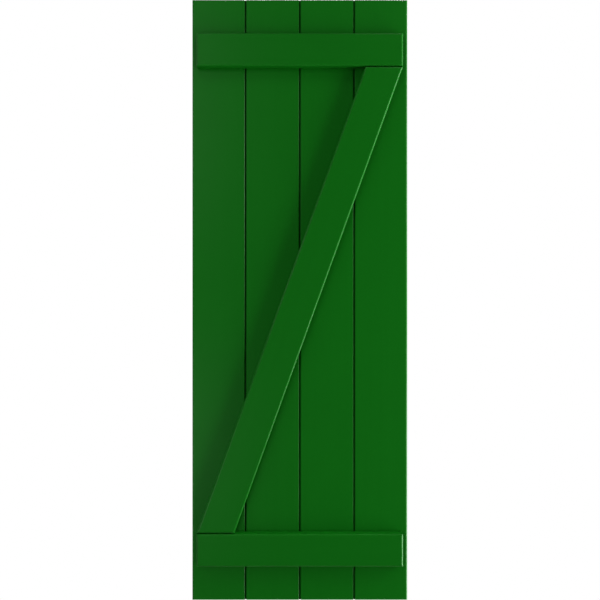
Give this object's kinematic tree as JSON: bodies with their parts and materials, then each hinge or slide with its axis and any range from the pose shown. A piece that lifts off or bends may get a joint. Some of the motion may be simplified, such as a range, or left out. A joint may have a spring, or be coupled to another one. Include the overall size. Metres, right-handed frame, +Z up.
{
  "type": "board and batten shutter",
  "caption": "Exterior window shutter of tongue-and-groove boards held by level battens and one diagonal brace on the face, with a flat back that goes against the wall.",
  "frame": {"origin": "middle of the flat back, which goes against the wall", "axes": "+Z up along the boards, +Y into the wall, so the face with the battens looks along -Y, and +X to the right seen from the front"},
  "size_m": [0.5462, 0.0381, 1.524],
  "materials": {
    "green_paint": "satin",
    "stainless_steel": "satin"
  },
  "bodies": {
    "root": {"board_1": "green_paint", "board_2": "green_paint", "board_3": "green_paint", "board_4": "green_paint", "top_batten": "green_paint", "bottom_batten": "green_paint", "diagonal_brace": "green_paint"}
  },
  "joints": []
}
